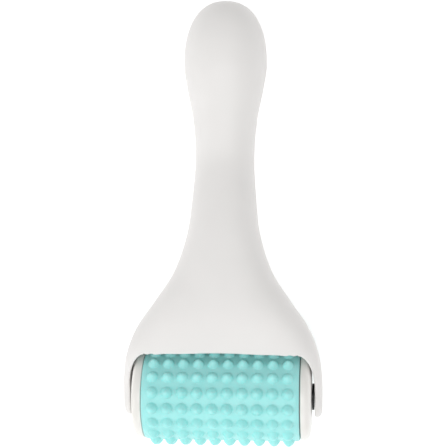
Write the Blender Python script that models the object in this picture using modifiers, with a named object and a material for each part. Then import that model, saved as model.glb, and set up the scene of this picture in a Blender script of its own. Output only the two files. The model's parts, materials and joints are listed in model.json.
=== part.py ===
"""Skin roller: a nubbed silicone sleeve on a gel-filled drum, turning between the two arms of a hollow handle.

Metres, +Z up. The roller lies on two rows of its nubs and the grip's round end lies beside it on the same surface.
The handle runs along +Y, the roller turns about the X direction, and the origin is the middle of the box, at its base.
Shapes are modelled from the middle of the axle and parented to an empty that stands there.
"""

import math

import bmesh
import bpy
from mathutils import Matrix, Vector

# Driving dimensions, in metres.

FIT_GAP = 0.0003  # between pieces that are fixed to each other
RUN_GAP = 0.0002  # along the axle, between faces that turn past each other

# Nubbed sleeve and the drum it is stretched over.
SLEEVE_HALF_LENGTH = 0.0305
SLEEVE_RADIUS = 0.0170
SLEEVE_WALL = 0.0024
DRUM_WALL = 0.0018
NUB_HEIGHT = 0.0029
NUB_BASE_RADIUS = 0.0024
NUB_TOP_RADIUS = 0.0011
NUB_ROOT = 0.0006  # how far a nub is sunk into the sleeve
NUB_SPACING = 0.0058  # along the roller
NUB_ROW_SPACING = 0.0059  # around the roller
NUB_END_MARGIN = 0.0014
NUB_SIDES = 6

# Roller end caps, seal rings, filling and stub axles.
CAP_DEPTH = 0.0044  # from the end of the sleeve to the outer face
CAP_RIM_LAND = 0.0007  # straight part of the rim beside the sleeve, before it rounds over
CAP_EDGE_FULLNESS = 3.2
CAP_PLATE = 0.0024
CAP_FLAT_RADIUS = 0.0085
SPIGOT_LENGTH = 0.0040
SPIGOT_WALL = 0.0023
SEAL_THICKNESS_RADIUS = 0.0005
CAP_BOSS_WALL = 0.0020
CAP_BOSS_FLOOR = 0.0010
AXLE_RADIUS = 0.0020
AXLE_CHAMFER = 0.0005
AXLE_SEAT_DEPTH = 0.0070  # how much of the axle sits in the end cap
AXLE_END_GAP = 0.0003  # from the axle to the bottom of the bush's seat
WASHER_THICKNESS = 0.0008
WASHER_RADIUS = 0.0052
FILL_HOLE_RADIUS = 0.0017
FILL_HOLE_OFFSET = 0.0071
FILL_PLUG_LIP = 0.0004

# Arms and pivots.
ARM_THICKNESS = 0.0030
ARM_RADIUS = 0.0085
ARM_TIP_DRAFT = 0.0010  # how much the arm's outer side leans in at its tip
ARM_SIDE_CUT = 0.0003  # taken off the arm's outer side to leave it flat
BUSH_WALL = 0.0020
BUSH_LENGTH = 0.0013
BUSH_SEAT_FLOOR = 0.0008
RAMP_DEPTH = 0.0006
RAMP_EXTRA_DEPTH = 0.0005  # added at the arm's tip, so that the axle slides in

# Handle.
HANDLE_REACH = 0.1570  # from the axle to the end of the grip
GRIP_END_LENGTH = 0.02525
GRIP_HALF_WIDTH = 0.01655
GRIP_HALF_THICKNESS = 0.0137
GRIP_END_FULLNESS = 2.32
GRIP_SQUARENESS = 2.1
NECK_TO_GRIP = 0.0370
NECK_HALF_WIDTH = 0.0117
NECK_HALF_THICKNESS = 0.0091
NECK_RISE = -0.0050  # the middle of the neck's section above the axle
NECK_SQUARENESS = 2.2
HEAD_SQUARENESS = 5.5
WALL = 0.0024
HOOD_CLEARANCE = 0.0036  # from the nubs to the hood, at the middle of the roller
HOOD_ARCH = 0.00125  # how much nearer the hood comes towards its corners
HOOD_CORNER_LENGTH = 0.0074
HOOD_CORNER_DROP = 0.0141
WEB_FLANGE = 0.0008

# Screws and their plugs, vertical, from behind.
SCREW_RADIUS = 0.0014
SCREW_HEAD_RADIUS = 0.0026
SCREW_HEAD_HEIGHT = 0.0018
SCREW_HEAD_CROWN = 0.0008  # how far the head's face is in from its rim
SCREW_SOCKET_RADIUS = 0.0009
SCREW_SOCKET_FLOOR_RADIUS = 0.0005
SCREW_SOCKET_DEPTH = 0.0009
SCREW_SEAT = 0.0020
SCREW_ENGAGEMENT = 0.0070
SCREW_BOSS_WALL = 0.0015
PLUG_DEPTH = 0.0030
HEAD_SCREW_X = 0.0150
HEAD_SCREW_BEHIND_WEB = 0.0103
GRIP_SCREW_BEFORE_END = 0.0315

# Between the axle and the neck, each row gives: the share of the way along, the share of the head's extra width,
# the height of the section's middle above the axle, its half thickness, and how square it is.
HEAD_STATIONS = (
    (0.082, 0.983, 0.0011, 0.0101, 5.5),
    (0.186, 0.926, 0.0024, 0.0125, 4.6),
    (0.289, 0.786, 0.0030, 0.0131, 3.8),
    (0.392, 0.545, 0.0029, 0.0128, 3.4),
    (0.515, 0.275, 0.0019, 0.0119, 3.1),
    (0.670, 0.100, 0.0002, 0.0108, 2.7),
    (0.825, 0.034, -0.0022, 0.0099, 2.4),
)

# Between the neck and the grip's fattest section, each row gives: the share of the way along, the share of the
# widening and thickening, and the share of the drop of the section's middle.
GRIP_STATIONS = (
    (0.40, 0.23, 0.44),
    (0.73, 0.72, 0.79),
)

# Cutters.
SEAM_CUTTER_DROP = 40  # degrees below the axle that the seam's round front goes down to
CUTTER_REACH = 0.0250  # how far a cutter goes past what it cuts
CAVITY_OVERLAP = 0.0095  # how far the handle's hollow starts inside the web, which closes it

# Smoothness of the solids.
ROUND_STEPS = 32
SMALL_STEPS = 16
HOOD_STEPS = 56
HOOD_ARCH_STEPS = 4
SEAL_STEPS = 8
CAP_EDGE_STEPS = 4
HOOD_CORNER_STEPS = 7
SECTION_POINTS = 28
HEAD_RINGS = 13
NECK_RINGS = 5
END_RINGS = 6
TIP_RINGS = 4
SEAM_FRONT_STEPS = 8
SHARP_ANGLE = 35  # degrees
MERGE_DISTANCE = 0.00001

# Sizes that follow from the driving dimensions.

NUB_TIP_RADIUS = SLEEVE_RADIUS + NUB_HEIGHT
NUB_ROWS = round(2 * math.pi * SLEEVE_RADIUS / NUB_ROW_SPACING)
NUB_COLUMNS = int((SLEEVE_HALF_LENGTH - NUB_END_MARGIN) * 2 / NUB_SPACING)
ROW_ANGLE = 2 * math.pi / NUB_ROWS

SLEEVE_BORE = SLEEVE_RADIUS - SLEEVE_WALL
DRUM_RADIUS = SLEEVE_BORE - FIT_GAP
DRUM_BORE = DRUM_RADIUS - DRUM_WALL
SPIGOT_RADIUS = DRUM_BORE - FIT_GAP
CAP_START = SLEEVE_HALF_LENGTH + FIT_GAP
CAP_FACE = SLEEVE_HALF_LENGTH + CAP_DEPTH
CAP_ROUNDING = CAP_FACE - CAP_START - CAP_RIM_LAND
SPIGOT_END = CAP_START - SPIGOT_LENGTH
AXLE_START = CAP_FACE - AXLE_SEAT_DEPTH
CAP_BOSS_END = AXLE_START - FIT_GAP - CAP_BOSS_FLOOR
AXLE_HOLE_RADIUS = AXLE_RADIUS + FIT_GAP
WASHER_START = CAP_FACE + RUN_GAP
WASHER_END = WASHER_START + WASHER_THICKNESS
ARM_INNER = WASHER_END + FIT_GAP
ARM_OUTER = ARM_INNER + ARM_THICKNESS

BUSH_RADIUS = AXLE_HOLE_RADIUS + BUSH_WALL
BUSH_SEAT_RADIUS = BUSH_RADIUS + FIT_GAP
BUSH_SEAT_END = ARM_OUTER - BUSH_SEAT_FLOOR
BUSH_END = BUSH_SEAT_END - FIT_GAP
AXLE_END = BUSH_SEAT_END - AXLE_END_GAP

HOOD_RADIUS = NUB_TIP_RADIUS + HOOD_CLEARANCE
WEB_RADIUS = HOOD_RADIUS + WALL
SEAM_RADIUS = WEB_RADIUS + WEB_FLANGE
HEAD_SCREW_Y = SEAM_RADIUS + HEAD_SCREW_BEHIND_WEB

GRIP_Y = HANDLE_REACH - GRIP_END_LENGTH
NECK_Y = GRIP_Y - NECK_TO_GRIP


def nub_reach(direction):
    """How far the nubs reach from the axle towards an angle around the roller, counted from straight down."""
    reaches = []
    for row in range(NUB_ROWS):
        away = (row + 0.5) * ROW_ANGLE - direction
        reaches.append(NUB_TIP_RADIUS * math.cos(away) + NUB_TOP_RADIUS * abs(math.sin(away)))
    return max(reaches)


AXLE_HEIGHT = nub_reach(0)
ROLLER_FRONT = nub_reach(math.pi / 2)
AXLE_Y = (ROLLER_FRONT - HANDLE_REACH) / 2
GRIP_RISE = GRIP_HALF_THICKNESS - AXLE_HEIGHT  # the fattest part of the grip lies on the surface too
BEYOND = AXLE_HEIGHT + CUTTER_REACH  # above or below everything, from the axle


# Scene, collections and parents.

for old in list(bpy.data.objects):
    bpy.data.objects.remove(old, do_unlink=True)

parts = bpy.data.collections.new("skin_roller")
cutters = bpy.data.collections.new("cutters")
bpy.context.scene.collection.children.link(parts)
bpy.context.scene.collection.children.link(cutters)


def add_empty(name):
    empty = bpy.data.objects.new(name, None)
    empty.location = (0, AXLE_Y, AXLE_HEIGHT)
    parts.objects.link(empty)
    return empty


handle = add_empty("handle_frame")
roller = add_empty("roller_frame")


def make_material(name, colour, roughness, metallic=0.0):
    material = bpy.data.materials.new(name)
    material.use_nodes = True
    shader = material.node_tree.nodes["Principled BSDF"]
    shader.inputs["Base Color"].default_value = (*colour, 1.0)
    shader.inputs["Roughness"].default_value = roughness
    shader.inputs["Metallic"].default_value = metallic
    material.diffuse_color = (*colour, 1.0)
    return material


WHITE_ABS = make_material("white_abs", (0.84, 0.83, 0.82), 0.5)
WHITE_CAP = make_material("white_cap", (0.86, 0.86, 0.86), 0.35)
TURQUOISE = make_material("turquoise_silicone", (0.22, 0.78, 0.72), 0.45)
DRUM_GREY = make_material("drum_polypropylene", (0.72, 0.74, 0.75), 0.5)
BLACK_NYLON = make_material("black_nylon", (0.03, 0.03, 0.035), 0.5)
ACETAL = make_material("acetal", (0.80, 0.79, 0.74), 0.4)
STEEL = make_material("steel", (0.56, 0.57, 0.58), 0.3, 1.0)
SEAL_RUBBER = make_material("seal_rubber", (0.05, 0.05, 0.05), 0.7)
BLUE_GEL = make_material("cooling_gel", (0.35, 0.62, 0.80), 0.2)


def add_object(name, mesh, parent, material=None):
    """Adds a piece, or a cutter when it has no material."""
    obj = bpy.data.objects.new(name, mesh)
    obj.parent = parent
    if material is None:
        cutters.objects.link(obj)
        obj.hide_render = True
        obj.display_type = "WIRE"
    else:
        parts.objects.link(obj)
        mesh.materials.append(material)
        mesh.shade_smooth()
        mesh.set_sharp_from_angle(angle=math.radians(SHARP_ANGLE))
    return obj


def mesh_from(bm, name):
    mesh = bpy.data.meshes.new(name)
    bmesh.ops.recalc_face_normals(bm, faces=bm.faces)
    bm.to_mesh(mesh)
    bm.free()
    return mesh


def add_boolean(obj, operation, other):
    modifier = obj.modifiers.new(f"{operation.lower()} {other.name}", "BOOLEAN")
    modifier.operation = operation
    modifier.object = other
    modifier.solver = "EXACT"


# Turned pieces: a profile of (distance along the axle, radius) points is turned about the axle.

RIGHT = (0, math.pi / 2, 0)
LEFT = (0, -math.pi / 2, 0)


def turned_mesh(name, profile):
    """The profile runs from its far end inwards over its outer side. It closes on itself unless it ends on the axle."""
    mesh = bpy.data.meshes.new(name)
    points = [(radius, 0, along) for along, radius in profile]
    edges = [(i, i + 1) for i in range(len(points) - 1)]
    if profile[0][1] > 0:
        edges.append((len(points) - 1, 0))
    mesh.from_pydata(points, edges, [])
    return mesh


def add_screw(obj, steps):
    modifier = obj.modifiers.new("turn", "SCREW")
    modifier.steps = steps
    modifier.render_steps = steps
    modifier.use_merge_vertices = True
    modifier.merge_threshold = MERGE_DISTANCE
    modifier.use_smooth_shade = True


def add_turned(name, profile, parent, material, rotation=RIGHT, steps=ROUND_STEPS):
    obj = add_object(name, turned_mesh(name, profile), parent, material)
    obj.rotation_euler = rotation
    add_screw(obj, steps)
    return obj


def ring_profile(start, end, inner, outer):
    return [(end, outer), (start, outer), (start, inner), (end, inner)]


def rod_profile(start, end, radius):
    return [(end, 0), (end, radius), (start, radius), (start, 0)]


def cylinder_mesh(name, radius, low, high, x=0.0, y=0.0, steps=SMALL_STEPS):
    """A vertical cylinder between two heights above the axle."""
    bm = bmesh.new()
    place = Matrix.Translation((x, y, (low + high) / 2))
    bmesh.ops.create_cone(
        bm, cap_ends=True, segments=steps, radius1=radius, radius2=radius, depth=high - low, matrix=place
    )
    return mesh_from(bm, name)


# Roller.


def add_nub_sleeve():
    """A tube with rows of blunt nubs. Rows stand half a row's angle to each side of straight down."""
    sleeve = add_turned(
        "nub_sleeve",
        ring_profile(-SLEEVE_HALF_LENGTH, SLEEVE_HALF_LENGTH, SLEEVE_BORE, SLEEVE_RADIUS),
        roller,
        TURQUOISE,
        steps=NUB_ROWS,
    )
    bm = bmesh.new()
    for row in range(NUB_ROWS):
        around = Matrix.Rotation((row + 0.5) * ROW_ANGLE, 4, "X")
        for column in range(NUB_COLUMNS):
            along = (column - (NUB_COLUMNS - 1) / 2) * NUB_SPACING
            middle = -(SLEEVE_RADIUS - NUB_ROOT + NUB_TIP_RADIUS) / 2
            place = around @ Matrix.Translation((along, 0, middle))
            bmesh.ops.create_cone(
                bm,
                cap_ends=True,
                segments=NUB_SIDES,
                radius1=NUB_TOP_RADIUS,
                radius2=NUB_BASE_RADIUS,
                depth=NUB_HEIGHT + NUB_ROOT,
                matrix=place,
            )
    nubs = add_object("sleeve_nubs", mesh_from(bm, "sleeve_nubs"), roller)
    add_boolean(sleeve, "UNION", nubs)


def cap_profile():
    """An end cap from the bottom of its blind axle hole, over its face and rim, round its spigot, to its boss."""
    groove_depth = 2 * SEAL_THICKNESS_RADIUS + 2 * FIT_GAP - (DRUM_BORE - SPIGOT_RADIUS)
    groove_middle = CAP_START - SPIGOT_LENGTH / 2
    groove_half = SEAL_THICKNESS_RADIUS + FIT_GAP
    boss_radius = AXLE_HOLE_RADIUS + CAP_BOSS_WALL
    rim_drop = SLEEVE_RADIUS - CAP_FLAT_RADIUS
    profile = [(AXLE_START - FIT_GAP, 0), (AXLE_START - FIT_GAP, AXLE_HOLE_RADIUS), (CAP_FACE, AXLE_HOLE_RADIUS)]
    power = 2 / CAP_EDGE_FULLNESS
    for step in range(CAP_EDGE_STEPS + 1):
        turn = math.pi / 2 * step / CAP_EDGE_STEPS
        out = CAP_FACE - CAP_ROUNDING + CAP_ROUNDING * abs(math.cos(turn)) ** power
        radius = CAP_FLAT_RADIUS + rim_drop * math.sin(turn) ** power
        profile.append((out, radius))
    profile += [
        (CAP_START, SLEEVE_RADIUS),
        (CAP_START, SPIGOT_RADIUS),
        (groove_middle + groove_half, SPIGOT_RADIUS),
        (groove_middle + groove_half, SPIGOT_RADIUS - groove_depth),
        (groove_middle - groove_half, SPIGOT_RADIUS - groove_depth),
        (groove_middle - groove_half, SPIGOT_RADIUS),
        (SPIGOT_END, SPIGOT_RADIUS),
        (SPIGOT_END, SPIGOT_RADIUS - SPIGOT_WALL),
        (CAP_FACE - CAP_PLATE, SPIGOT_RADIUS - SPIGOT_WALL),
        (CAP_FACE - CAP_PLATE, boss_radius),
        (CAP_BOSS_END, boss_radius),
        (CAP_BOSS_END, 0),
    ]
    return profile


def add_end(side, rotation):
    """One end of the roller: cap, seal ring and stub axle."""
    cap = add_turned(f"{side}_end_cap", cap_profile(), roller, WHITE_CAP, rotation)

    bpy.ops.mesh.primitive_torus_add(
        major_segments=ROUND_STEPS,
        minor_segments=SEAL_STEPS,
        major_radius=DRUM_BORE - FIT_GAP - SEAL_THICKNESS_RADIUS,
        minor_radius=SEAL_THICKNESS_RADIUS,
    )
    seal = bpy.context.object
    seal.name = f"{side}_seal_ring"
    for holder in list(seal.users_collection):
        holder.objects.unlink(seal)
    parts.objects.link(seal)
    seal.data.materials.append(SEAL_RUBBER)
    seal.data.shade_smooth()
    seal.parent = roller
    seal.rotation_euler = rotation
    outwards = 1 if rotation == RIGHT else -1
    seal.location = (outwards * (CAP_START - SPIGOT_LENGTH / 2), 0, 0)

    axle = [
        (AXLE_END, 0),
        (AXLE_END, AXLE_RADIUS - AXLE_CHAMFER),
        (AXLE_END - AXLE_CHAMFER, AXLE_RADIUS),
        (AXLE_START, AXLE_RADIUS),
        (AXLE_START, 0),
    ]
    add_turned(f"{side}_stub_axle", axle, roller, STEEL, rotation, SMALL_STEPS)
    return cap


def add_fill_plug(cap):
    """The gel goes in through a hole in the right end cap, which a stepped plug closes flush with the face."""
    plate_back = CAP_FACE - CAP_PLATE - FIT_GAP
    hole_profile = rod_profile(plate_back, CAP_FACE + FIT_GAP, FILL_HOLE_RADIUS)
    hole = add_turned("fill_hole", hole_profile, roller, None, steps=SMALL_STEPS)
    hole.location = (0, 0, FILL_HOLE_OFFSET)
    add_boolean(cap, "DIFFERENCE", hole)
    plug_radius = FILL_HOLE_RADIUS - FIT_GAP
    plug = [
        (CAP_FACE, 0),
        (CAP_FACE, plug_radius),
        (plate_back, plug_radius),
        (plate_back, FILL_HOLE_RADIUS),
        (plate_back - FILL_PLUG_LIP, FILL_HOLE_RADIUS),
        (plate_back - FILL_PLUG_LIP, 0),
    ]
    fill_plug = add_turned("fill_plug", plug, roller, SEAL_RUBBER, steps=SMALL_STEPS)
    fill_plug.location = (0, 0, FILL_HOLE_OFFSET)


def add_roller():
    add_nub_sleeve()
    drum_profile = ring_profile(-SLEEVE_HALF_LENGTH, SLEEVE_HALF_LENGTH, DRUM_BORE, DRUM_RADIUS)
    add_turned("roller_drum", drum_profile, roller, DRUM_GREY)
    gel_half = min(SPIGOT_END, CAP_BOSS_END) - FIT_GAP
    add_turned("cooling_gel", rod_profile(-gel_half, gel_half, DRUM_BORE - FIT_GAP), roller, BLUE_GEL)
    add_end("left", LEFT)
    right_cap = add_end("right", RIGHT)
    add_fill_plug(right_cap)


# Handle form: sections across Y, blended from the arms through the neck to the grip.


def smooth_through(stations, way):
    """Cubic curve through (way, value, ...) rows, level at both ends. It returns the values at one way."""
    for i in range(len(stations) - 1):
        if way <= stations[i + 1][0]:
            break
    start, end = stations[i], stations[i + 1]
    span = end[0] - start[0]
    u = (way - start[0]) / span
    values = []
    for k in range(1, len(start)):
        slopes = []
        for j in (i, i + 1):
            if 0 < j < len(stations) - 1:
                before, after = stations[j - 1], stations[j + 1]
                slopes.append((after[k] - before[k]) / (after[0] - before[0]) * span)
            else:
                slopes.append(0.0)
        values.append(
            (2 * u**3 - 3 * u**2 + 1) * start[k]
            + (u**3 - 2 * u**2 + u) * slopes[0]
            + (3 * u**2 - 2 * u**3) * end[k]
            + (u**3 - u**2) * slopes[1]
        )
    return values


def blend(start, end, share):
    return start + (end - start) * share


def body_stations():
    """Rows of distance from the axle, half width, middle height, half thickness and squareness."""
    head_half_width = ARM_OUTER + ARM_SIDE_CUT
    rows = [(0.0, head_half_width, 0.0, ARM_RADIUS, HEAD_SQUARENESS)]
    for way, flare, middle, thickness, squareness in HEAD_STATIONS:
        rows.append((NECK_Y * way, blend(NECK_HALF_WIDTH, head_half_width, flare), middle, thickness, squareness))
    rows.append((NECK_Y, NECK_HALF_WIDTH, NECK_RISE, NECK_HALF_THICKNESS, NECK_SQUARENESS))
    for way, swell, drop in GRIP_STATIONS:
        rows.append(
            (
                NECK_Y + NECK_TO_GRIP * way,
                blend(NECK_HALF_WIDTH, GRIP_HALF_WIDTH, swell),
                blend(NECK_RISE, GRIP_RISE, drop),
                blend(NECK_HALF_THICKNESS, GRIP_HALF_THICKNESS, swell),
                blend(NECK_SQUARENESS, GRIP_SQUARENESS, way),
            )
        )
    rows.append((GRIP_Y, GRIP_HALF_WIDTH, GRIP_RISE, GRIP_HALF_THICKNESS, GRIP_SQUARENESS))
    return rows


BODY_STATIONS = body_stations()


def section_sizes(y):
    """Half width, middle height, half thickness and squareness of the handle's section at a distance from the axle."""
    return smooth_through(BODY_STATIONS, min(max(y, 0.0), GRIP_Y))


def section_ring(y, width, middle, thickness, squareness):
    """A closed ring of points: an ellipse that gets squarer as squareness rises from 2."""
    ring = []
    for i in range(SECTION_POINTS):
        turn = 2 * math.pi * i / SECTION_POINTS
        across = math.copysign(abs(math.cos(turn)) ** (2 / squareness), math.cos(turn))
        up = math.copysign(abs(math.sin(turn)) ** (2 / squareness), math.sin(turn))
        if i % (SECTION_POINTS // 4) == 0:
            across, up = round(across), round(up)
        ring.append(Vector((width * across, y, middle + thickness * up)))
    return ring


def body_rings(start, inset):
    """Rings from a distance along the handle to the end of the grip, all moved in by an inset."""
    rings = []
    body = [blend(start, NECK_Y, i / HEAD_RINGS) for i in range(HEAD_RINGS)]
    body += [NECK_Y + NECK_TO_GRIP * i / NECK_RINGS for i in range(NECK_RINGS + 1)]
    for y in body:
        width, middle, thickness, squareness = section_sizes(y)
        rings.append(section_ring(y, width - inset, middle, thickness - inset, squareness))
    power = 2 / GRIP_END_FULLNESS
    for i in range(1, END_RINGS + 1):
        turn = math.pi / 2 * i / END_RINGS
        y = GRIP_Y + (GRIP_END_LENGTH - inset) * math.sin(turn) ** power
        size = 0.0 if i == END_RINGS else math.cos(turn) ** power
        width = (GRIP_HALF_WIDTH - inset) * size
        thickness = (GRIP_HALF_THICKNESS - inset) * size
        rings.append(section_ring(y, width, GRIP_RISE, thickness, GRIP_SQUARENESS))
    return rings


def arm_tip_rings():
    """The arms end in a half circle, seen from the side, and lean in a little towards their tips."""
    rings = []
    for i in range(TIP_RINGS, 0, -1):
        turn = math.pi / 2 * i / TIP_RINGS
        lean = ARM_TIP_DRAFT * (1 - math.cos(turn))
        width = ARM_OUTER + ARM_SIDE_CUT - lean
        thickness = 0.0 if i == TIP_RINGS else ARM_RADIUS * math.cos(turn)
        rings.append(section_ring(-ARM_RADIUS * math.sin(turn), width, 0.0, thickness, HEAD_SQUARENESS))
    return rings


def loft_mesh(name, rings):
    """Quads between rings, flat lids on open ends; a ring that has shrunk to a line or a point closes its end."""
    bm = bmesh.new()
    rows = [[bm.verts.new(point) for point in ring] for ring in rings]
    for low, high in zip(rows, rows[1:]):
        for i in range(len(low)):
            j = (i + 1) % len(low)
            bm.faces.new((low[i], low[j], high[j], high[i]))
    for row in (rows[0], rows[-1]):
        if (row[0].co - row[len(row) // 2].co).length > FIT_GAP:
            heights = [vert.co.z for vert in row]
            if max(heights) - min(heights) > FIT_GAP:
                bm.faces.new(row)
    bmesh.ops.remove_doubles(bm, verts=bm.verts, dist=MERGE_DISTANCE)
    bmesh.ops.triangulate(bm, faces=bm.faces)
    return mesh_from(bm, name)


def outer_mesh(name):
    return loft_mesh(name, arm_tip_rings() + body_rings(0.0, 0.0))


# Cutters for the handle.


def add_hood_cutter():
    """The room for the roller: turned about the axle, slightly barrelled, with full round corners."""
    straight = ARM_INNER - HOOD_CORNER_LENGTH
    corner_radius = HOOD_RADIUS - HOOD_ARCH
    half = []
    for i in range(HOOD_ARCH_STEPS):
        share = i / HOOD_ARCH_STEPS
        half.append((straight * share, HOOD_RADIUS - HOOD_ARCH * share**2))
    for i in range(HOOD_CORNER_STEPS + 1):
        turn = math.pi / 2 * i / HOOD_CORNER_STEPS
        along = straight + HOOD_CORNER_LENGTH * math.sin(turn)
        half.append((along, corner_radius - HOOD_CORNER_DROP * (1 - math.cos(turn))))
    half.append((ARM_INNER, 0))
    profile = half[::-1] + [(-along, radius) for along, radius in half[1:]]
    return add_turned("hood_cutter", profile, handle, None, steps=HOOD_STEPS)


def add_cavity_cutter(bosses):
    """The hollow of the handle: the form moved in by the wall, less the web behind the roller and the screw bosses."""
    rings = body_rings(WEB_RADIUS - CAVITY_OVERLAP, WALL)
    cavity = add_object("cavity_cutter", loft_mesh("cavity_cutter", rings), handle)
    half_width = ARM_OUTER + CUTTER_REACH
    web = add_turned("web_cutter", rod_profile(-half_width, half_width, WEB_RADIUS), handle, None, steps=HOOD_STEPS)
    add_boolean(cavity, "DIFFERENCE", web)
    for boss in bosses:
        add_boolean(cavity, "DIFFERENCE", boss)
    return cavity


def add_seam_cutter(name, gap):
    """Everything that belongs to the rear shell: below the middle of the sections and behind the web's flange."""
    radius = SEAM_RADIUS + gap
    far = HANDLE_REACH + WALL
    start_turn = math.asin(section_sizes(radius)[1] / radius)
    end_turn = -math.radians(SEAM_CUTTER_DROP)
    outline = []
    for i in range(SEAM_FRONT_STEPS + 1):
        turn = blend(start_turn, end_turn, i / SEAM_FRONT_STEPS)
        outline.append((radius * math.cos(turn), radius * math.sin(turn) - (gap if i == 0 else 0)))
    outline.append((outline[-1][0], -BEYOND))
    outline.append((far, -BEYOND))
    steps = HEAD_RINGS + NECK_RINGS
    for i in range(steps + 1):
        y = far + (radius - far) * i / steps
        if y > outline[0][0] + FIT_GAP:
            outline.append((y, section_sizes(y)[1] - gap))
    half_width = ARM_OUTER + CUTTER_REACH
    bm = bmesh.new()
    face = bm.faces.new([bm.verts.new((-half_width, y, z)) for y, z in outline])
    swept = bmesh.ops.extrude_face_region(bm, geom=[face])
    moved = [item for item in swept["geom"] if isinstance(item, bmesh.types.BMVert)]
    bmesh.ops.translate(bm, vec=(2 * half_width, 0, 0), verts=moved)
    return add_object(name, mesh_from(bm, name), handle)


def add_ramp_cutter(side, outwards):
    """The lead-in groove that the stub axle slides along, from the arm's tip to the bush; deeper at the tip."""
    bm = bmesh.new()
    bmesh.ops.create_cube(bm, size=1.0)
    for vert in bm.verts:
        at_tip = vert.co.y < 0
        outer = vert.co.x > 0
        depth = RAMP_DEPTH + (RAMP_EXTRA_DEPTH if at_tip else 0)
        x = ARM_INNER + depth if outer else ARM_INNER - RUN_GAP
        y = -ARM_RADIUS - FIT_GAP if at_tip else 0.0
        vert.co = (outwards * x, y, math.copysign(AXLE_HOLE_RADIUS, vert.co.z))
    return add_object(f"{side}_ramp_cutter", mesh_from(bm, f"{side}_ramp_cutter"), handle)


# Screws, bosses and plugs.


def screw_places():
    return (
        ("left_head", -HEAD_SCREW_X, HEAD_SCREW_Y),
        ("right_head", HEAD_SCREW_X, HEAD_SCREW_Y),
        ("grip", 0.0, HANDLE_REACH - GRIP_SCREW_BEFORE_END),
    )


def add_screw_set(name, x, y, rear_shell, front_shell, form):
    """A screw from behind through the rear shell's boss into the front shell's, and the plug that hides it."""
    seam = section_sizes(y)[1]
    seat = seam - FIT_GAP - SCREW_SEAT
    hole_radius = SCREW_RADIUS + FIT_GAP
    recess_radius = SCREW_HEAD_RADIUS + FIT_GAP
    hole_top = seam + SCREW_ENGAGEMENT + FIT_GAP
    hole_name = f"{name}_screw_hole"
    hole = add_object(hole_name, cylinder_mesh(hole_name, hole_radius, -BEYOND, hole_top, x, y), handle)
    recess_name = f"{name}_screw_recess"
    recess = add_object(recess_name, cylinder_mesh(recess_name, recess_radius, -BEYOND, seat, x, y), handle)
    add_boolean(front_shell, "DIFFERENCE", hole)
    add_boolean(rear_shell, "DIFFERENCE", hole)
    add_boolean(rear_shell, "DIFFERENCE", recess)

    head_top = seat - FIT_GAP
    face = head_top - SCREW_HEAD_HEIGHT
    profile = [
        (seam + SCREW_ENGAGEMENT, 0),
        (seam + SCREW_ENGAGEMENT - SCREW_RADIUS, SCREW_RADIUS),
        (head_top, SCREW_RADIUS),
        (head_top, SCREW_HEAD_RADIUS),
        (face + SCREW_HEAD_CROWN, SCREW_HEAD_RADIUS),
        (face, SCREW_HEAD_RADIUS - SCREW_HEAD_CROWN),
        (face, SCREW_SOCKET_RADIUS),
        (face + SCREW_SOCKET_DEPTH, SCREW_SOCKET_FLOOR_RADIUS),
        (face + SCREW_SOCKET_DEPTH, 0),
    ]
    screw = add_turned(f"{name}_screw", profile, handle, STEEL, (0, 0, 0), SMALL_STEPS)
    screw.location = (x, y, 0)

    width, middle, thickness, squareness = section_sizes(y)
    surface = middle - thickness * (1 - abs(x / width) ** squareness) ** (1 / squareness)
    plug_radius = recess_radius - FIT_GAP
    plug_name = f"{name}_screw_plug"
    plug_mesh = cylinder_mesh(plug_name, plug_radius, surface - PLUG_DEPTH, surface + PLUG_DEPTH, x, y)
    plug = add_object(plug_name, plug_mesh, handle, WHITE_ABS)
    add_boolean(plug, "INTERSECT", form)


def add_handle():
    form = add_object("handle_form", outer_mesh("handle_form"), handle)
    hood = add_hood_cutter()
    boss_radius = SCREW_HEAD_RADIUS + FIT_GAP + SCREW_BOSS_WALL
    bosses = []
    for name, x, y in screw_places():
        boss_name = f"{name}_boss"
        mesh = cylinder_mesh(boss_name, boss_radius, -BEYOND, BEYOND, x, y)
        bosses.append(add_object(boss_name, mesh, handle))
    cavity = add_cavity_cutter(bosses)

    bm = bmesh.new()
    length = HANDLE_REACH + ARM_RADIUS + 2 * CUTTER_REACH
    place = Matrix.Translation((0, (HANDLE_REACH - ARM_RADIUS) / 2, 0))
    place @= Matrix.Diagonal((2 * ARM_OUTER, length, 2 * BEYOND, 1))
    bmesh.ops.create_cube(bm, size=1.0, matrix=place)
    flats = add_object("arm_flats", mesh_from(bm, "arm_flats"), handle)

    front = add_object("front_shell", outer_mesh("front_shell"), handle, WHITE_ABS)
    rear = add_object("rear_shell", outer_mesh("rear_shell"), handle, WHITE_ABS)
    for shell in (front, rear):
        add_boolean(shell, "INTERSECT", flats)
        add_boolean(shell, "DIFFERENCE", hood)
        add_boolean(shell, "DIFFERENCE", cavity)
    add_boolean(front, "DIFFERENCE", add_seam_cutter("front_seam_cutter", 0.0))
    add_boolean(rear, "INTERSECT", add_seam_cutter("rear_seam_cutter", FIT_GAP))
    for name, x, y in screw_places():
        add_screw_set(name, x, y, rear, front, form)

    for side, outwards, rotation in (("left", -1, LEFT), ("right", 1, RIGHT)):
        seat_profile = rod_profile(ARM_INNER - RUN_GAP, BUSH_SEAT_END, BUSH_SEAT_RADIUS)
        seat = add_turned(f"{side}_bush_seat", seat_profile, handle, None, rotation, SMALL_STEPS)
        add_boolean(front, "DIFFERENCE", seat)
        add_boolean(front, "DIFFERENCE", add_ramp_cutter(side, outwards))
        bush = ring_profile(BUSH_END - BUSH_LENGTH, BUSH_END, AXLE_HOLE_RADIUS, BUSH_RADIUS)
        add_turned(f"{side}_pivot_bush", bush, handle, ACETAL, rotation, SMALL_STEPS)
        washer = ring_profile(WASHER_START, WASHER_END, AXLE_HOLE_RADIUS, WASHER_RADIUS)
        add_turned(f"{side}_thrust_washer", washer, roller, BLACK_NYLON, rotation, SMALL_STEPS)


add_roller()
add_handle()
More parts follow.
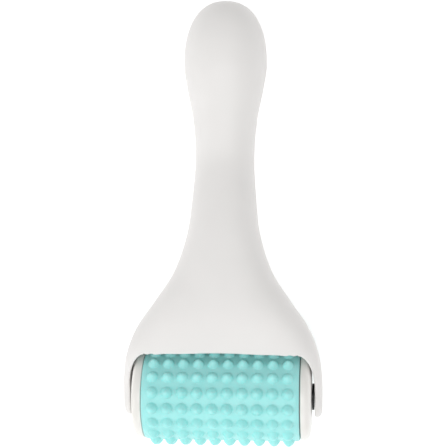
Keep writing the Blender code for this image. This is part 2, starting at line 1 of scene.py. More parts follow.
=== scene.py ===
"""Skin roller: looks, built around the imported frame. Metres, +Z up, +Y along the handle from the roller."""

import json
import math

import bmesh
import bpy
import numpy as np
from mathutils import Matrix, Vector


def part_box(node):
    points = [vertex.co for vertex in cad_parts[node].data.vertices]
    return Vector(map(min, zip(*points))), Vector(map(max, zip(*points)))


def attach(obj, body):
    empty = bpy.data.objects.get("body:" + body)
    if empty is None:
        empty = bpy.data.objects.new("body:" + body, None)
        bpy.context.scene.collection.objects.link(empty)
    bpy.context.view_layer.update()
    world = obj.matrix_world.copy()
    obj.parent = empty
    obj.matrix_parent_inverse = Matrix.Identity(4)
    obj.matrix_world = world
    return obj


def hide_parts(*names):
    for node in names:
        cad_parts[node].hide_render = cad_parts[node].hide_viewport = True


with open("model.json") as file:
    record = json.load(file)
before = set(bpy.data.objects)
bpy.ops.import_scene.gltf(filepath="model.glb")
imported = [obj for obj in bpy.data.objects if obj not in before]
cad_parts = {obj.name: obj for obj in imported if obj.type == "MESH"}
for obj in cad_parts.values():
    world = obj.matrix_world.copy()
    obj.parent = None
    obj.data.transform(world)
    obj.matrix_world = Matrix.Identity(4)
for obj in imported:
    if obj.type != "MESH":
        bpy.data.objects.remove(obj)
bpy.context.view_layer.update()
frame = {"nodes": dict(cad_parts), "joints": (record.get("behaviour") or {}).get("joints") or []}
scene = bpy.context.scene

# ----------------------------------------------------------------------------------------------------
# Camera. It looks almost straight down on the roller as it lies, from a little to the right of the middle,
# through a long lens. Places are counted from the middle of the axle, where the joint is.

AXLE = Vector(frame["joints"][0]["pos_m"])
EYE = Vector((0.0469, 0.0679, 0.482))
LEAN = 5.55  # degrees, over to the left
ROLL = 0.12  # degrees, against the clock

camera_data = bpy.data.cameras.new("camera")
camera_data.sensor_width = 36.0
camera_data.lens = 98.3
camera = bpy.data.objects.new("camera", camera_data)
camera.location = AXLE + EYE
camera.rotation_euler = (0.0, math.radians(LEAN), math.radians(ROLL))
scene.collection.objects.link(camera)
scene.camera = camera

# ----------------------------------------------------------------------------------------------------
# Nub sleeve. One moulding in soft turquoise silicone, stretched over the drum, with blunt round nubs in rows.
# One nub and the square of tube it stands on are drawn out ring by ring, bent to the tube, and repeated.

NUB_ROWS = 18
NUB_COLUMNS = 10
NUB_SPACING = 0.0058
SLEEVE_RADIUS = 0.0175
SLEEVE_BORE = 0.0146
SLEEVE_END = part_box("nub_sleeve")[1].x
NUB_SIDES = 8
# From the tip out: radius of the ring, and its height above the tube.
NUB_RINGS = (
    (0.00034, 0.00239),
    (0.00086, 0.00215),
    (0.00142, 0.00170),
    (0.00195, 0.00112),
    (0.00236, 0.00048),
    (0.00250, 0.00010),
    (0.00266, 0.0),
)
BETWEEN_NUBS = 0.00016  # how far the tube swells where two nubs of a row meet
# The rounded edge of each end: how far short of the end, and how far below the tube's surface.
END_STEPS = ((0.0012, 0.0), (0.0005, 0.00016), (0.0001, 0.0004), (0.0, 0.0009))
CORNER_SNAP = 1.3  # rounds an eighth of a circle to a corner of the square, and a quarter to a side's middle
SAME_POINT = 1e-6

row_angle = 2 * math.pi / NUB_ROWS
half_row = SLEEVE_RADIUS * math.sin(row_angle / 2)

bm = bmesh.new()
bmesh.ops.create_circle(bm, cap_ends=True, segments=NUB_SIDES, radius=NUB_RINGS[0][0])
bmesh.ops.translate(bm, vec=(0, 0, NUB_RINGS[0][1]), verts=bm.verts)
for radius, height in NUB_RINGS[1:] + ((NUB_SPACING / 2, 0.0),):
    edges = [edge for edge in bm.edges if edge.is_boundary]
    swept = bmesh.ops.extrude_edge_only(bm, edges=edges)
    ring = [item for item in swept["geom"] if isinstance(item, bmesh.types.BMVert)]
    for vert in ring:
        away = vert.co.xy.normalized() * radius
        vert.co = (away.x, away.y, height)
for vert in ring:  # the last ring is the square that neighbours share
    across, around = vert.co.x / NUB_SPACING * 2, vert.co.y / NUB_SPACING * 2
    across, around = round(across * CORNER_SNAP), round(around * CORNER_SNAP)
    swell = BETWEEN_NUBS if abs(across) > abs(around) else 0.0
    vert.co = (across * NUB_SPACING / 2, around * half_row, swell)
for vert in bm.verts:
    vert.co.z = -vert.co.z - math.sqrt(SLEEVE_RADIUS**2 - vert.co.y**2)
bmesh.ops.translate(bm, vec=(-(NUB_COLUMNS - 1) / 2 * NUB_SPACING, 0, 0), verts=bm.verts)
cell = bm.verts[:] + bm.edges[:] + bm.faces[:]
for column in range(1, NUB_COLUMNS):
    copy = bmesh.ops.duplicate(bm, geom=cell)["geom"]
    verts = [item for item in copy if isinstance(item, bmesh.types.BMVert)]
    bmesh.ops.translate(bm, vec=(column * NUB_SPACING, 0, 0), verts=verts)
bmesh.ops.remove_doubles(bm, verts=bm.verts, dist=SAME_POINT)

# The plain ends: from the last square over the rounded edge and down to the bore, where both ends join.
bore = SLEEVE_RADIUS - SLEEVE_BORE
for outwards in (-1, 1):
    edge_x = outwards * NUB_COLUMNS / 2 * NUB_SPACING
    at_end = {vert for vert in bm.verts if abs(vert.co.x - edge_x) < SAME_POINT}
    edges = [edge for edge in bm.edges if edge.is_boundary and at_end.issuperset(edge.verts)]
    for short, down in END_STEPS + ((0.0, bore), (SLEEVE_END, bore)):
        swept = bmesh.ops.extrude_edge_only(bm, edges=edges)
        verts = [item for item in swept["geom"] if isinstance(item, bmesh.types.BMVert)]
        edges = [item for item in swept["geom"] if isinstance(item, bmesh.types.BMEdge)]
        for vert in verts:
            turn = math.atan2(vert.co.y, -vert.co.z)
            radius = SLEEVE_RADIUS - down
            vert.co = (outwards * (SLEEVE_END - short), radius * math.sin(turn), -radius * math.cos(turn))
strip = bm.verts[:] + bm.edges[:] + bm.faces[:]
for row in range(NUB_ROWS):  # the gap between two rows is on top
    copy = bmesh.ops.duplicate(bm, geom=strip)["geom"]
    verts = [item for item in copy if isinstance(item, bmesh.types.BMVert)]
    turn = Matrix.Rotation((row + 0.5) * row_angle, 3, "X")
    bmesh.ops.rotate(bm, cent=(0, 0, 0), matrix=turn, verts=verts)
bmesh.ops.delete(bm, geom=strip, context="VERTS")
bmesh.ops.remove_doubles(bm, verts=bm.verts, dist=SAME_POINT)
bmesh.ops.recalc_face_normals(bm, faces=bm.faces)
bmesh.ops.translate(bm, vec=AXLE, verts=bm.verts)


def add_piece(name, bm, sharp_angle=None):
    """Makes a smooth-shaded object of a finished bmesh, with edges sharper than an angle kept sharp."""
    mesh = bpy.data.meshes.new(name)
    bm.to_mesh(mesh)
    bm.free()
    mesh.shade_smooth()
    if sharp_angle:
        mesh.set_sharp_from_angle(angle=math.radians(sharp_angle))
    piece = bpy.data.objects.new(name, mesh)
    scene.collection.objects.link(piece)
    return piece


sleeve = add_piece("silicone_sleeve", bm)
rounding = sleeve.modifiers.new("rounding", "SUBSURF")
rounding.levels = rounding.render_levels = 1


def linear(hex_colour):
    """A colour written in sRGB hex, as the linear values that a shader takes."""
    channels = [int(hex_colour[i : i + 2], 16) / 255 for i in (1, 3, 5)]
    return (*[c / 12.92 if c <= 0.04045 else ((c + 0.055) / 1.055) ** 2.4 for c in channels], 1.0)


def new_material(name, **sockets):
    """A material with a Principled shader whose sockets are set by name, its node tree, and the shader."""
    material = bpy.data.materials.new(name)
    material.use_nodes = True
    shader = material.node_tree.nodes["Principled BSDF"]
    for key, value in sockets.items():
        shader.inputs[key.replace("_", " ")].default_value = value
    return material, material.node_tree, shader


def add_node(tree, kind, settings, **links):
    """Adds a node. A setting goes on the node if it has one of that name, else on its input. Links join."""
    node = tree.nodes.new("ShaderNode" + kind)
    for key, value in settings.items():
        if hasattr(node, key):
            setattr(node, key, value)
        else:
            node.inputs[key].default_value = value
    for key, source in links.items():
        tree.links.new(source, node.inputs[key.replace("_", " ")])
    return node


# Noise between 0 and 1 seldom leaves the middle of its range, so that is what gets stretched.
NOISE_LOW = 0.3
NOISE_HIGH = 0.7


def moulded_finish(tree, shader, colours, drift_mm, gloss, grain_mm, grain_depth_mm):
    """Skin of a moulding: colour and roughness drift over millimetres, and the mould's grain is a bump."""
    place = add_node(tree, "TexCoord", {}).outputs["Object"]
    drift = add_node(tree, "TexNoise", {"Scale": 1000 / drift_mm, "Detail": 2.0}, Vector=place).outputs["Fac"]
    tint = add_node(tree, "ValToRGB", {}, Fac=drift)
    for stop, position, colour in zip(tint.color_ramp.elements, (NOISE_LOW, NOISE_HIGH), colours):
        stop.position = position
        stop.color = linear(colour)
    tree.links.new(tint.outputs["Color"], shader.inputs["Base Color"])
    span = {"From Min": NOISE_LOW, "From Max": NOISE_HIGH, "To Min": gloss[0], "To Max": gloss[1]}
    sheen = add_node(tree, "MapRange", span, Value=drift)
    tree.links.new(sheen.outputs["Result"], shader.inputs["Roughness"])
    grain = add_node(tree, "TexNoise", {"Scale": 1000 / grain_mm, "Detail": 3.0}, Vector=place)
    bump = add_node(tree, "Bump", {"Distance": grain_depth_mm / 1000}, Height=grain.outputs["Fac"])
    tree.links.new(bump.outputs["Normal"], shader.inputs["Normal"])


# Liquid silicone rubber, tinted turquoise and moulded in a finely blasted tool: a soft satin whose nubs let
# some light through, so that their shaded sides stay soft.
soft = {"IOR": 1.41, "Subsurface_Weight": 0.4, "Subsurface_Scale": 0.0015}
silicone, tree, shader = new_material("turquoise_silicone", **soft)
shader.inputs["Subsurface Radius"].default_value = (0.4, 1.0, 1.0)
moulded_finish(
    tree, shader, ("#A1E5E3", "#A9EAE8"), drift_mm=9.0, gloss=(0.36, 0.44), grain_mm=0.35, grain_depth_mm=0.012
)
sleeve.data.materials.append(silicone)
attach(sleeve, "roller")
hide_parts("nub_sleeve")

# ----------------------------------------------------------------------------------------------------
# End caps. White ABS mouldings, glossier than the handle, with a full round edge, pushed into the drum's ends
# on a grooved spigot. The left one sits closer to the sleeve.

CAP_FLAT = 0.0085
CAP_EDGE = 0.0034
CAP_RADIUS = 0.0170
CAP_EDGE_FULLNESS = 3.2
CAP_EDGE_STEPS = 14
AXLE_HOLE = 0.0023
BOSS_RADIUS = 0.0043
SPIGOT_RADIUS = 0.0122
SPIGOT_BORE = 0.0099
SPIGOT_LENGTH = 0.004
GROOVE_RADIUS = 0.0112
GROOVE_HALF_WIDTH = 0.0008
GROOVE_PLACE = 0.002  # from the cap's start to the middle of the seal's groove
FIT_GAP = 0.0003
CHAMFER = 0.0003
LEFT_SEAM = 0.0001
PLATE = 0.0024
cap_inner = min(abs(corner.x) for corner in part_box("right_end_cap"))
cap_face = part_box("right_end_cap")[1].x
axle_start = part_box("right_stub_axle")[0].x
groove_middle = SLEEVE_END + FIT_GAP - GROOVE_PLACE
groove = (groove_middle + GROOVE_HALF_WIDTH, groove_middle - GROOVE_HALF_WIDTH)


def turned_piece(name, profile, outwards, steps, sharp_angle=None):
    """Spins a profile of (distance out along the axle, radius) points about the axle, and closes it."""
    bm = bmesh.new()
    verts = [bm.verts.new(AXLE + Vector((outwards * along, 0, radius))) for along, radius in profile]
    edges = [bm.edges.new(pair) for pair in zip(verts, verts[1:])]
    if profile[0][1] > 0:
        edges.append(bm.edges.new((verts[-1], verts[0])))
    turn = {"cent": AXLE, "axis": (1, 0, 0), "angle": 2 * math.pi, "steps": steps, "use_merge": True}
    bmesh.ops.spin(bm, geom=verts + edges, **turn)
    bmesh.ops.remove_doubles(bm, verts=bm.verts, dist=SAME_POINT)
    bmesh.ops.recalc_face_normals(bm, faces=bm.faces)
    return add_piece(name, bm, sharp_angle)


# ABS moulded in a polished tool: a smooth satin that takes a soft highlight on its round edge.
cap_white, tree, shader = new_material("white_abs_satin", IOR=1.53)
moulded_finish(
    tree, shader, ("#E8E6E1", "#ECEAE6"), drift_mm=11.0, gloss=(0.30, 0.36), grain_mm=0.6, grain_depth_mm=0.005
)

for side, outwards, seam in (("left", -1, LEFT_SEAM), ("right", 1, FIT_GAP)):
    cap_start = SLEEVE_END + seam
    profile = [(axle_start - FIT_GAP, 0.0), (axle_start - FIT_GAP, AXLE_HOLE)]
    profile += [(cap_face - CHAMFER, AXLE_HOLE), (cap_face, AXLE_HOLE + CHAMFER)]
    power = 2 / CAP_EDGE_FULLNESS
    for i in range(CAP_EDGE_STEPS + 1):
        turn = math.pi / 2 * i / CAP_EDGE_STEPS
        out = cap_face - CAP_EDGE * (1 - abs(math.cos(turn)) ** power)
        profile.append((out, CAP_FLAT + (CAP_RADIUS - CAP_FLAT) * math.sin(turn) ** power))
    profile += [(cap_start + CHAMFER, CAP_RADIUS), (cap_start, CAP_RADIUS - CHAMFER)]
    profile += [(cap_start, SPIGOT_RADIUS), (groove[0], SPIGOT_RADIUS), (groove[0], GROOVE_RADIUS)]
    profile += [(groove[1], GROOVE_RADIUS), (groove[1], SPIGOT_RADIUS)]
    spigot_end = cap_start - SPIGOT_LENGTH
    profile += [(spigot_end, SPIGOT_RADIUS), (spigot_end, SPIGOT_BORE), (cap_face - PLATE, SPIGOT_BORE)]
    profile += [(cap_face - PLATE, BOSS_RADIUS), (cap_inner, BOSS_RADIUS), (cap_inner, 0.0)]
    cap = turned_piece(f"{side}_roller_cap", profile, outwards, steps=96, sharp_angle=40)
    cap.data.materials.append(cap_white)
    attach(cap, "roller")
    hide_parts(f"{side}_end_cap")

# ----------------------------------------------------------------------------------------------------
# Thrust washers. Nylon rings, pushed onto the stub axles outside the caps, which keep the spinning caps off the
# arms. They are coloured near black as painted shade, standing in for the deep shade in the narrow gap between
# each cap and arm.

WASHER_EDGE = 0.00015

# Nylon coloured near black as painted shade for the gap between cap and arm, moulded plain, with a low even
# sheen.
washer_painted_shade, tree, shader = new_material("black_nylon", IOR=1.53)
moulded_finish(
    tree, shader, ("#0B0B0C", "#141415"), drift_mm=3.0, gloss=(0.42, 0.52), grain_mm=0.3, grain_depth_mm=0.006
)

for side, outwards in (("left", -1), ("right", 1)):
    low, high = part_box(f"{side}_thrust_washer")
    near, far = sorted((abs(low.x), abs(high.x)))
    outer = (high.z - low.z) / 2
    profile = [(near, AXLE_HOLE + WASHER_EDGE), (near, outer - WASHER_EDGE), (near + WASHER_EDGE, outer)]
    profile += [(far - WASHER_EDGE, outer), (far, outer - WASHER_EDGE), (far, AXLE_HOLE + WASHER_EDGE)]
    profile += [(far - WASHER_EDGE, AXLE_HOLE), (near + WASHER_EDGE, AXLE_HOLE)]
    washer = turned_piece(f"{side}_painted_shade_washer", profile, outwards, steps=64, sharp_angle=40)
    washer.data.materials.append(washer_painted_shade)
    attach(washer, "roller")
    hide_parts(f"{side}_thrust_washer")

# ----------------------------------------------------------------------------------------------------
# Drum, gel, seals, axles, bushes and screws. They sit inside the roller and the handle, so they keep the
# shapes that they are packed with, and each gets the finish of what it is made of.

# Drawn steel rod with a bright zinc finish.
zinc_steel, tree, shader = new_material("zinc_plated_steel", Metallic=1.0)
moulded_finish(
    tree, shader, ("#B4B6B8", "#C6C7C8"), drift_mm=2.0, gloss=(0.25, 0.38), grain_mm=0.25, grain_depth_mm=0.004
)
# Natural acetal, cut from rod: waxy, slightly warm.
acetal, tree, shader = new_material("natural_acetal", IOR=1.48, Subsurface_Weight=0.1, Subsurface_Scale=0.001)
moulded_finish(
    tree, shader, ("#E4E0D4", "#E9E6DC"), drift_mm=4.0, gloss=(0.30, 0.38), grain_mm=0.4, grain_depth_mm=0.005
)
# Nitrile rubber, moulded: matte and near black.
nitrile, tree, shader = new_material("nitrile_rubber", IOR=1.52)
moulded_finish(
    tree, shader, ("#1C1C1C", "#262626"), drift_mm=3.0, gloss=(0.62, 0.75), grain_mm=0.3, grain_depth_mm=0.010
)
# Natural polypropylene, moulded: milky, with a soft gloss.
milky = {"IOR": 1.49, "Subsurface_Weight": 0.15, "Subsurface_Scale": 0.002}
polypropylene, tree, shader = new_material("natural_polypropylene", **milky)
moulded_finish(
    tree, shader, ("#D8DCDE", "#DFE2E3"), drift_mm=15.0, gloss=(0.40, 0.48), grain_mm=0.6, grain_depth_mm=0.010
)
# Cooling gel, pale blue and half clear.
gel, tree, shader = new_material("cooling_gel", IOR=1.38, Transmission_Weight=0.4)
moulded_finish(
    tree, shader, ("#8FC4E0", "#A6D2EA"), drift_mm=8.0, gloss=(0.12, 0.20), grain_mm=3.0, grain_depth_mm=0.050
)

FINISHES = {
    "left_head_screw": zinc_steel,
    "right_head_screw": zinc_steel,
    "grip_screw": zinc_steel,
    "left_stub_axle": zinc_steel,
    "right_stub_axle": zinc_steel,
    "left_pivot_bush": acetal,
    "right_pivot_bush": acetal,
    "left_seal_ring": nitrile,
    "right_seal_ring": nitrile,
    "fill_plug": nitrile,
    "roller_drum": polypropylene,
    "cooling_gel": gel,
}
for node, finish in FINISHES.items():
    mesh = frame["nodes"][node].data
    mesh.materials.clear()
    mesh.materials.append(finish)

# ----------------------------------------------------------------------------------------------------
# Handle shells. Two injection-moulded halves in white ABS, screwed together from behind: the front one has both
# arms and the web behind the roller, the rear one closes the hollow. The form is curved everywhere, so each
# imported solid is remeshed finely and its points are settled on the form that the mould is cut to.

ARM_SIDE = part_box("front_shell")[1].x
ARM_RADIUS = 0.0085
ARM_THICKNESS = 0.0030
ARM_LEAN = 0.0010
SIDE_CUT = 0.0003
TIP_SQUARENESS = 14.0
HANDLE_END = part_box("front_shell")[1].y - AXLE.y
GRIP_END = 0.02525
GRIP_FULLNESS = 2.32
NECK_TO_GRIP = 0.0370
NECK_HALF_WIDTH = 0.0117
NECK_HALF_THICKNESS = 0.0091
NECK_RISE = -0.0050
NECK_SQUARENESS = 2.2
GRIP_HALF_WIDTH = 0.01655
GRIP_HALF_THICKNESS = 0.0137
GRIP_SQUARENESS = 2.1
WALL = 0.0024
BOSS_WALL = 0.0015
HOOD_RADIUS = 0.0235
LIP_FORWARD = 0.0005  # the lip stands forward of the sharp edge that it rounds
HOOD_ARCH = 0.00125
HOOD_CORNER = (0.0074, 0.0141)  # along the axle, and away from it
WEB_RADIUS = HOOD_RADIUS + WALL
SEAM_BEHIND_WEB = 0.0008
SEAM_RADIUS = WEB_RADIUS + SEAM_BEHIND_WEB
SEAM_GAP = 0.0003
HOOD_LIP = 0.0010
SIDE_EDGE = 0.0008
EDGE = 0.0005
SCREW_HOLE = 0.0017
SCREW_DEPTH = 0.0073
SCREW_SEAT = 0.0023
BUSH_SEAT = (0.0046, 0.0008)  # radius, and what is left of the arm at its bottom
LEAD_IN = (0.0023, 0.0006, 0.0005)  # half height, depth, and how much deeper it is at the arm's tip
SHELL_STEP = 0.00053
SETTLING_ROUNDS = 5
LEVEL_STEP = 2e-6  # how far a point is moved to see how a level changes
FORM_STEP = 1e-5
LEAST_SLOPE = 1e-3
LEAST_STEEPNESS = 0.2  # of a form's slope squared, where two surfaces meet and it nearly cancels
NO_LENGTH = 1e-12
NEARLY_ALL = 0.999  # keeps the arm tip's lean short of its upright end

# Shares of the way from the axle to the neck and of the head's extra width, then the section's middle, half
# thickness and squareness.
HEAD_STATIONS = (
    (0.000, 1.000, 0.0000, ARM_RADIUS, 5.5),
    (0.082, 0.983, 0.0011, 0.0101, 5.5),
    (0.186, 0.926, 0.0024, 0.0125, 4.6),
    (0.289, 0.786, 0.0030, 0.0131, 3.8),
    (0.392, 0.545, 0.0029, 0.0128, 3.4),
    (0.515, 0.275, 0.0019, 0.0119, 3.1),
    (0.670, 0.100, 0.0002, 0.0108, 2.7),
    (0.825, 0.034, -0.0022, 0.0099, 2.4),
    (1.000, 0.000, NECK_RISE, NECK_HALF_THICKNESS, NECK_SQUARENESS),
)
# Shares of the way from the neck to the grip, of its swelling, and of the drop of its middle.
GRIP_STATIONS = ((0.40, 0.23, 0.44), (0.73, 0.72, 0.79), (1.0, 1.0, 1.0))

grip_y = HANDLE_END - GRIP_END
neck_y = grip_y - NECK_TO_GRIP
grip_rise = GRIP_HALF_THICKNESS - AXLE.z


def blend(start, end, share):
    return start + (end - start) * share


stations = []
for way, flare, middle, thickness, squareness in HEAD_STATIONS:
    width = blend(NECK_HALF_WIDTH, ARM_SIDE + SIDE_CUT, flare)
    stations.append((neck_y * way, width, middle, thickness, squareness))
for way, swell, drop in GRIP_STATIONS:
    width = blend(NECK_HALF_WIDTH, GRIP_HALF_WIDTH, swell)
    middle = blend(NECK_RISE, grip_rise, drop)
    thickness = blend(NECK_HALF_THICKNESS, GRIP_HALF_THICKNESS, swell)
    squareness = blend(NECK_SQUARENESS, GRIP_SQUARENESS, way)
    stations.append((neck_y + NECK_TO_GRIP * way, width, middle, thickness, squareness))
stations = np.array(stations)
ways = stations[:, 0]
slopes = np.zeros((len(ways), 4))
slopes[1:-1] = (stations[2:, 1:] - stations[:-2, 1:]) / (ways[2:] - ways[:-2])[:, None]


def section_at(y):
    """Half width, middle, half thickness and squareness at each y, on a smooth curve through the stations."""
    y = np.clip(y, 0.0, grip_y - 1e-9)
    i = np.searchsorted(ways, y, side="right") - 1
    span = (ways[i + 1] - ways[i])[:, None]
    u = (y - ways[i])[:, None] / span
    values = (2 * u**3 - 3 * u**2 + 1) * stations[i, 1:] + (u**3 - 2 * u**2 + u) * span * slopes[i]
    values += (3 * u**2 - 2 * u**3) * stations[i + 1, 1:] + (u**3 - u**2) * span * slopes[i + 1]
    return values.T


def slope_of(level, points, value, step=LEVEL_STEP):
    """How a level changes at each point along x, y and z."""
    slope = np.zeros_like(points)
    for k in range(3):
        moved = points.copy()
        moved[:, k] += step
        slope[:, k] = (level(moved) - value) / step
    return slope


def distance(level, points):
    """A level is 0 on a surface and grows outwards. Its slope turns it into a distance in metres."""
    value = level(points)
    steepness = np.linalg.norm(slope_of(level, points, value), axis=1)
    return value / np.maximum(steepness, LEAST_SLOPE)


def form_level(points, inset=0.0):
    """The handle's outer form: squared ovals across y, a round end on the grip and half round arm tips."""
    x, y, z = points.T
    width, middle, thickness, squareness = section_at(y)
    tip = np.clip(-y / ARM_RADIUS, 0, 1)
    squareness = squareness + (TIP_SQUARENESS - squareness) * tip**2
    width = width - inset - ARM_LEAN * (1 - np.sqrt(1 - NEARLY_ALL * tip**2))
    height = np.hypot(z - middle, np.minimum(y, 0)) / (thickness - inset)
    across = ((np.abs(x) / width) ** squareness + height**squareness) ** (1 / squareness)
    along = np.maximum(y - grip_y, 0) / (GRIP_END - inset)
    return (across**GRIP_FULLNESS + along**GRIP_FULLNESS) ** (1 / GRIP_FULLNESS) - 1


def hood_level(points):
    """The room for the roller, a slightly barrelled drum with round corners. It is below 0 inside."""
    x, y, z = points.T
    straight = ARM_SIDE - ARM_THICKNESS - HOOD_CORNER[0]
    radius = HOOD_RADIUS - LIP_FORWARD - HOOD_ARCH * np.minimum(np.abs(x) / straight, 1) ** 2
    along = np.maximum(np.abs(x) - straight, 0) / HOOD_CORNER[0]
    away = np.maximum(np.hypot(y, z) - (radius - HOOD_CORNER[1]), 0) / HOOD_CORNER[1]
    return np.hypot(along, away) - 1


def round_max(a, b, size):
    """The larger of two distances, with the edge where they meet rounded off."""
    near = np.maximum(size - np.abs(a - b), 0) / size
    return np.maximum(a, b) + near**2 * size / 4


screws = []
for name in ("left_head_screw", "right_head_screw", "grip_screw"):
    low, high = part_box(name)
    screws.append((low + high) / 2 - AXLE)
recess_radius = (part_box("grip_screw_plug")[1].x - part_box("grip_screw_plug")[0].x) / 2 + FIT_GAP


def away_from_screw(points, place):
    return np.hypot(points[:, 0] - place.x, points[:, 1] - place.y)


def hollow(points):
    """The room inside both shells, less the web and the screw bosses. It is below 0 inside."""
    room = np.maximum(
        distance(lambda p: form_level(p, WALL), points), WEB_RADIUS - np.hypot(points[:, 1], points[:, 2])
    )
    for place in screws:
        room = np.maximum(room, recess_radius + BOSS_WALL - away_from_screw(points, place))
    return room


def rear_side(points, gap):
    """Below 0 in what the rear shell takes up: under the middle of the sections and behind the web."""
    behind = SEAM_RADIUS + gap - np.hypot(points[:, 1], points[:, 2])
    return np.maximum(points[:, 2] - section_at(points[:, 1])[1] + gap, behind)


def seam_height(place):
    return section_at(np.array([place.y]))[1][0]


def pivot_seat(points):
    """The bush's round seat in each arm, and the groove that the axle slides in by, from the arm's tip."""
    x, y, z = points.T
    seat = np.maximum(np.hypot(y, z) - BUSH_SEAT[0], np.abs(x) - (ARM_SIDE - BUSH_SEAT[1]))
    depth = LEAD_IN[1] + LEAD_IN[2] * np.clip(-y / ARM_RADIUS, 0, 1)
    groove = np.maximum(np.abs(z) - LEAD_IN[0], np.abs(x) - (ARM_SIDE - ARM_THICKNESS) - depth)
    return np.minimum(seat, np.maximum(groove, y))


def front_shell(points):
    body = round_max(distance(form_level, points), np.abs(points[:, 0]) - ARM_SIDE, SIDE_EDGE)
    body = round_max(body, -distance(hood_level, points), HOOD_LIP)
    body = np.maximum(body, -hollow(points))
    body = round_max(body, -rear_side(points, 0.0), EDGE)
    for place in screws:
        depth = points[:, 2] - seam_height(place) - SCREW_DEPTH
        hole = np.maximum(away_from_screw(points, place) - SCREW_HOLE, depth)
        body = np.maximum(body, -hole)
    return np.maximum(body, -pivot_seat(points))


def rear_shell(points):
    body = round_max(distance(form_level, points), -distance(hood_level, points), HOOD_LIP)
    body = np.maximum(body, -hollow(points))
    body = round_max(body, rear_side(points, SEAM_GAP), EDGE)
    for place in screws:
        away = away_from_screw(points, place)
        body = np.maximum(body, SCREW_HOLE - away)
        recess = np.maximum(away - recess_radius, points[:, 2] - seam_height(place) + SCREW_SEAT)
        body = round_max(body, -recess, EDGE)
    return body


def settled_shell(name, node, form):
    """A fine copy of a packed shell, whose points are moved down the form's slope until they lie on it."""
    bm = bmesh.new()
    bm.from_mesh(frame["nodes"][node].data)
    bmesh.ops.remove_doubles(bm, verts=bm.verts, dist=SAME_POINT)
    coarse = add_piece(name + "_coarse", bm)
    remesh = coarse.modifiers.new("fine", "REMESH")
    remesh.mode = "VOXEL"
    remesh.voxel_size = SHELL_STEP
    mesh = bpy.data.meshes.new_from_object(coarse.evaluated_get(bpy.context.evaluated_depsgraph_get()))
    mesh.name = name
    bpy.data.objects.remove(coarse)
    points = np.empty(len(mesh.vertices) * 3)
    mesh.vertices.foreach_get("co", points)
    points = points.reshape(-1, 3) - np.array(AXLE)
    for _ in range(SETTLING_ROUNDS):
        value = form(points)
        slope = slope_of(form, points, value, step=FORM_STEP)
        steepness = np.maximum((slope**2).sum(1), LEAST_STEEPNESS)
        move = -(value / steepness)[:, None] * slope
        length = np.linalg.norm(move, axis=1, keepdims=True)
        points += move * np.minimum(1, SHELL_STEP / np.maximum(length, NO_LENGTH))
    mesh.vertices.foreach_set("co", (points + np.array(AXLE)).ravel())
    mesh.shade_smooth()
    mesh.materials.clear()
    shell = bpy.data.objects.new(name, mesh)
    scene.collection.objects.link(shell)
    return shell


# ABS moulded in a finely spark-eroded tool: an even, dry satin with no clear reflections. Its real grain of
# 0.1 mm is drawn five times as coarse, to show at all.
handle_white, tree, shader = new_material("white_abs_fine_texture", IOR=1.53)
moulded_finish(
    tree, shader, ("#E5E3E1", "#E8E6E4"), drift_mm=18.0, gloss=(0.50, 0.56), grain_mm=0.5, grain_depth_mm=0.012
)

for node, form in (("front_shell", front_shell), ("rear_shell", rear_shell)):
    shell = settled_shell("handle_" + node, node, form)
    shell.data.materials.append(handle_white)
    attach(shell, "handle")
    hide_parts(node)

# ----------------------------------------------------------------------------------------------------
# Screw plugs. Three small discs of the handle's ABS, pressed into the screw recesses behind, each following
# the form of the shell round it.

PLUG_RINGS = (0.0002, 0.0004, 0.0006, 0.0006)
PLUG_SUNK = 0.00005
RIM_WIDTH = 0.0001  # points this near the edge are its rim, which stands back by the first ring's width
PLUG_ROUNDS = 8

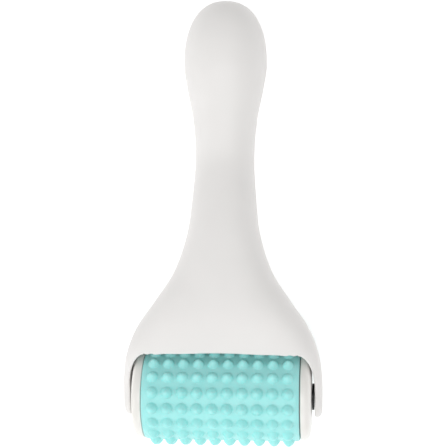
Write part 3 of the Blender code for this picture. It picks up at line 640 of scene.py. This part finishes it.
for name in ("left_head_screw_plug", "right_head_screw_plug", "grip_screw_plug"):
    low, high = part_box(name)
    middle = (low + high) / 2
    radius = (high.x - low.x) / 2
    place = Matrix.Translation((middle.x, middle.y, high.z))
    bm = bmesh.new()
    bmesh.ops.create_circle(bm, cap_ends=True, segments=48, radius=radius, matrix=place)
    swept = bmesh.ops.extrude_face_region(bm, geom=bm.faces[:])
    lower = [item for item in swept["geom"] if isinstance(item, bmesh.types.BMVert)]
    face = [item for item in swept["geom"] if isinstance(item, bmesh.types.BMFace)]
    bmesh.ops.translate(bm, vec=(0, 0, low.z - high.z), verts=lower)
    for ring in PLUG_RINGS:
        bmesh.ops.inset_region(bm, faces=face, thickness=ring)
    bmesh.ops.recalc_face_normals(bm, faces=bm.faces)
    for vert in bm.verts:
        if vert.co.z < (low.z + high.z) / 2:
            on_rim = (vert.co.xy - middle.xy).length > radius - RIM_WIDTH
            back = PLUG_SUNK + (PLUG_RINGS[0] if on_rim else 0.0)
            for _ in range(PLUG_ROUNDS):
                vert.co.z += distance(form_level, np.array([vert.co - AXLE]))[0] + back
    plug = add_piece(name + "_disc", bm, sharp_angle=50)
    plug.data.materials.append(handle_white)
    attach(plug, "handle")
    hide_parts(name)

# ----------------------------------------------------------------------------------------------------
# Floor and light. A plain white floor that shows hardly any shadow, in even white surroundings, with large
# soft lights above, at the roller's end and on the left, and a weaker one on the right.

bm = bmesh.new()
bmesh.ops.create_grid(bm, x_segments=1, y_segments=1, size=3.0)
floor = add_piece("floor", bm)

# Matt white paper, lit from behind as well, so that it stays white under the roller.
glow = {"Emission_Color": linear("#FFFFFF"), "Emission_Strength": 0.36}
paper, tree, shader = new_material("white_paper", Roughness=0.9, Base_Color=linear("#F7F7F7"), **glow)
floor.data.materials.append(paper)

LIGHT_SIZE = 0.6
LIGHT_AIM = Vector((0, 0, 0.02))
# Place, and power in watts.
LIGHTS = {
    "end": ((0.0, -1.0, 0.7), 2.35),
    "left": ((-1.0, -0.3, 0.6), 3.1),
    "right": ((1.0, -0.3, 0.6), 0.85),
    "above": ((0.0, -0.1, 1.2), 4.1),
}
for name, (place, power) in LIGHTS.items():
    light = bpy.data.lights.new(name, "AREA")
    light.shape = "DISK"
    light.size = LIGHT_SIZE
    light.energy = power
    lamp = bpy.data.objects.new(name, light)
    lamp.location = place
    lamp.rotation_euler = (LIGHT_AIM - Vector(place)).to_track_quat("-Z", "Y").to_euler()
    scene.collection.objects.link(lamp)

world = bpy.data.worlds.new("surroundings")
world.use_nodes = True
world.node_tree.nodes["Background"].inputs["Color"].default_value = linear("#FFFFFF")
world.node_tree.nodes["Background"].inputs["Strength"].default_value = 0.51
scene.world = world
scene.view_settings.view_transform = "Standard"
